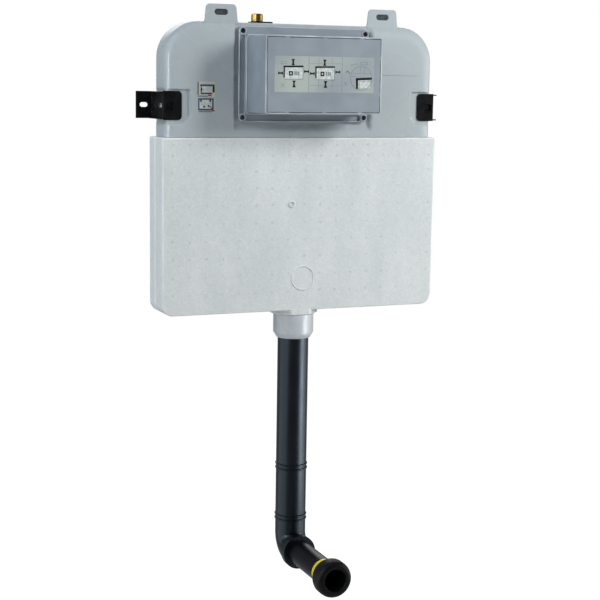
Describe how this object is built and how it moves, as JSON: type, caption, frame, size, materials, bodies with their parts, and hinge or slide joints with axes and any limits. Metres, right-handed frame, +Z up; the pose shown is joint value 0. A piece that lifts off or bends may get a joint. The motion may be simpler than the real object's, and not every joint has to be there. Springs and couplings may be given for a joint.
{
  "type": "concealed toilet cistern",
  "caption": "Slim in-wall toilet cistern with front service box, foam insulation jacket, wall brackets, dual-flush valve inside, flush pipe with elbow and rubber pan connector.",
  "frame": {"origin": "midway between the fixing slots of the two wall brackets, on the wall plane", "axes": "+X to the right seen from the front, +Y into the wall, +Z up"},
  "size_m": [0.57, 0.245, 1.015],
  "materials": {
    "tank_plastic": "satin blow-moulded polyethylene",
    "bead_foam": "matt expanded-polystyrene bead foam",
    "box_plastic": "fine satin moulded plastic",
    "black_steel": "satin black coated sheet steel",
    "inlet_brass": "turned brass",
    "black_plastic": "satin black extruded plastic",
    "seal_rubber": "matt black rubber",
    "blue_plastic": "gloss moulded plastic",
    "white_plastic": "satin moulded plastic",
    "pin_steel": "drawn stainless wire",
    "yellow_tape": "smooth plastic band"
  },
  "bodies": {
    "cistern": {"tank": "tank_plastic", "insulation_front": "bead_foam", "insulation_rear": "bead_foam", "service_box": "box_plastic", "box_gasket": "seal_rubber", "box_screws": "black_steel", "bracket_left": "black_steel", "bracket_right": "black_steel", "inlet_nipple": "inlet_brass", "inlet_plate": "black_plastic", "inlet_washer": "seal_rubber", "stop_valve_body": "inlet_brass", "supply_hose": "seal_rubber", "fill_valve_body": "white_plastic", "valve_holder": "white_plastic", "float_pin": "pin_steel", "lever_bridge": "white_plastic", "lever_pin": "pin_steel", "valve_seat": "white_plastic", "seat_washer": "seal_rubber", "valve_basket": "white_plastic", "outlet_nut": "tank_plastic", "pipe_seal": "seal_rubber"},
    "panel": {"box_panel": "box_plastic"},
    "stop_handle": {"stop_valve_handle": "blue_plastic"},
    "float": {"float_cup": "blue_plastic", "float_rod": "white_plastic"},
    "float_arm": {"float_lever": "white_plastic"},
    "full_push": {"full_lever": "blue_plastic"},
    "half_push": {"half_lever": "white_plastic"},
    "riser": {"valve_riser": "blue_plastic", "valve_washer": "seal_rubber", "full_lift_rod": "white_plastic"},
    "half_valve": {"half_float": "white_plastic", "half_lift_rod": "white_plastic"},
    "pipe": {"flush_pipe": "black_plastic", "connector_seal": "seal_rubber"},
    "connector": {"connector_pipe": "black_plastic", "marking_band": "yellow_tape", "pan_connector": "seal_rubber"}
  },
  "joints": [
    {"name": "panel_pull", "type": "slide", "parent": "cistern", "child": "panel", "axis": [0, -1, 0], "range_m": [0, 0.2]},
    {"name": "stop_valve_turn", "type": "hinge", "parent": "cistern", "child": "stop_handle", "pos_m": [-0.077, -0.0573, 0.095], "axis": [0, 1, 0], "range_deg": [0, 90]},
    {"name": "float_rise", "type": "slide", "parent": "cistern", "child": "float", "axis": [0, 0, 1], "range_m": [0, 0.018]},
    {"name": "float_lever_swing", "type": "hinge", "parent": "cistern", "child": "float_arm", "pos_m": [-0.161, -0.0375, 0.0335], "axis": [0, 1, 0], "range_deg": [0, 36.5]},
    {"name": "riser_lift", "type": "slide", "parent": "cistern", "child": "riser", "axis": [0, 0, 1], "range_m": [0, 0.014]},
    {"name": "full_lever_swing", "type": "hinge", "parent": "cistern", "child": "full_push", "pos_m": [0.0195, -0.067, 0.0883], "axis": [1, 0, 0], "range_deg": [0, 25]},
    {"name": "half_lift", "type": "slide", "parent": "cistern", "child": "half_valve", "axis": [0, 0, 1], "range_m": [0, 0.014]},
    {"name": "half_lever_swing", "type": "hinge", "parent": "cistern", "child": "half_push", "pos_m": [-0.0195, -0.067, 0.0883], "axis": [1, 0, 0], "range_deg": [0, 25]},
    {"name": "pipe_swivel", "type": "hinge", "parent": "cistern", "child": "pipe", "pos_m": [0, -0.0375, -0.6], "axis": [0, 0, 1], "range_deg": [-40, 40]},
    {"name": "connector_slide", "type": "slide", "parent": "pipe", "child": "connector", "axis": [0, -1, 0], "range_m": [0, 0.008]}
  ],
  "couplings": [
    {"joint": "float_lever_swing", "follows": "float_rise", "rad_per_m": 35},
    {"joint": "full_lever_swing", "follows": "riser_lift", "rad_per_m": 30.96},
    {"joint": "half_lever_swing", "follows": "half_lift", "rad_per_m": 30.96}
  ]
}
